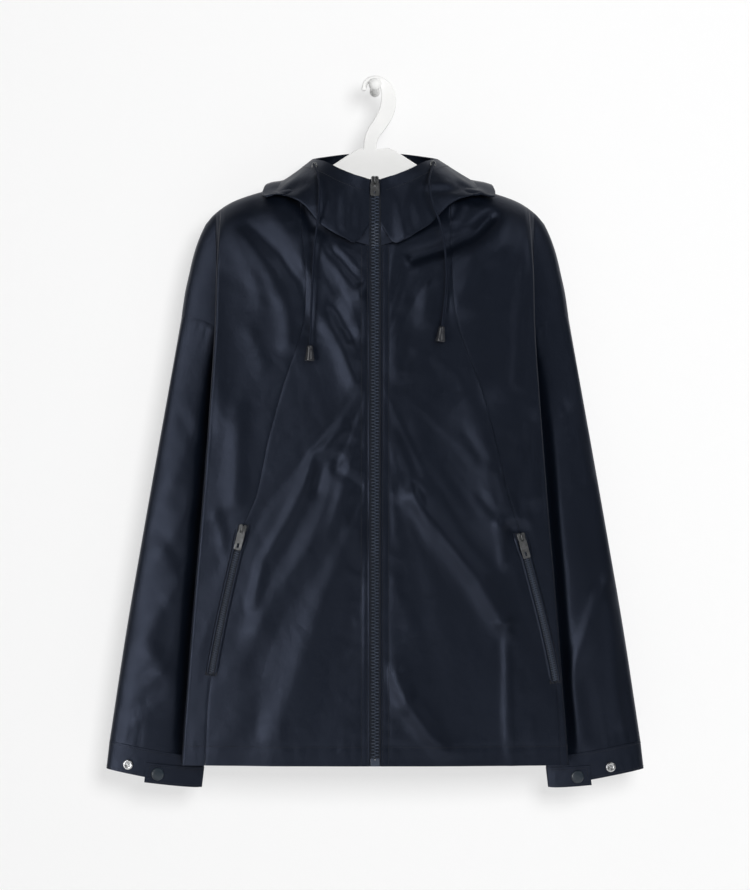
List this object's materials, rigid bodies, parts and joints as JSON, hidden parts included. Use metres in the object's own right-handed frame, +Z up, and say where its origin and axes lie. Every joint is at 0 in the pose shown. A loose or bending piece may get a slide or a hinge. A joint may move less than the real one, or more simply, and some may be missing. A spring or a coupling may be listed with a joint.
{
  "type": "hooded nylon jacket on a hanger",
  "caption": "Dark navy hooded nylon windbreaker with a front zip, slanted zip pockets, drawcords and snap-tab cuffs, hung on a plain white hanger from a wall peg.",
  "frame": {"origin": "the middle of the wall peg's flat back, on the wall", "axes": "+X to the right as seen from the front, +Y from the front of the jacket to the wall, +Z up"},
  "size_m": [0.651, 0.12, 0.8619],
  "materials": {
    "nylon": "plain-woven nylon taffeta with a soft sheen",
    "zip_tape": "matt woven tape",
    "zip_teeth": "moulded teeth, slightly shiny",
    "gunmetal": "dark gunmetal coating",
    "snap_cap": "smooth dark cap",
    "snap_metal": "plated metal",
    "cord": "braided round cord",
    "cord_end": "moulded plastic",
    "white_plastic": "smooth white plastic"
  },
  "bodies": {
    "jacket": {"front_centre_l": "nylon", "front_centre_r": "nylon", "front_side_l": "nylon", "front_side_r": "nylon", "back": "nylon", "sleeve_l": "nylon", "sleeve_r": "nylon", "cuff_l": "nylon", "cuff_r": "nylon", "cuff_tab_l": "nylon", "cuff_tab_r": "nylon", "hood_l": "nylon", "hood_r": "nylon", "zip_tape_l": "zip_tape", "zip_tape_r": "zip_tape", "zip_chain": "zip_teeth", "zip_slider": "gunmetal", "pocket_tape_l": "zip_tape", "pocket_tape_r": "zip_tape", "pocket_chain_l": "zip_teeth", "pocket_chain_r": "zip_teeth", "pocket_slider_l": "gunmetal", "pocket_slider_r": "gunmetal", "snap_cap_l": "snap_cap", "snap_cap_r": "snap_cap", "snap_socket_l": "snap_metal", "snap_socket_r": "snap_metal", "eyelet_l": "gunmetal", "eyelet_r": "gunmetal", "cord_l": "cord", "cord_r": "cord", "cord_end_l": "cord_end", "cord_end_r": "cord_end", "hanger": "white_plastic", "wall_peg": "white_plastic"},
    "main_pull": {"zip_pull": "gunmetal"},
    "left_pocket_pull": {"pocket_pull_l": "gunmetal"},
    "right_pocket_pull": {"pocket_pull_r": "gunmetal"}
  },
  "joints": [
    {"name": "main_pull_hinge", "type": "hinge", "parent": "jacket", "child": "main_pull", "pos_m": [0, -0.11085, -0.11904], "axis": [-1, 0, 0], "range_deg": [0, 150]},
    {"name": "left_pocket_pull_hinge", "type": "hinge", "parent": "jacket", "child": "left_pocket_pull", "pos_m": [-0.15849, -0.10264, -0.53536], "axis": [-0.9665, 0.0766, 0.2452], "range_deg": [0, 150]},
    {"name": "right_pocket_pull_hinge", "type": "hinge", "parent": "jacket", "child": "right_pocket_pull", "pos_m": [0.17587, -0.10118, -0.54521], "axis": [-0.9521, -0.1689, -0.255], "range_deg": [0, 150]}
  ]
}
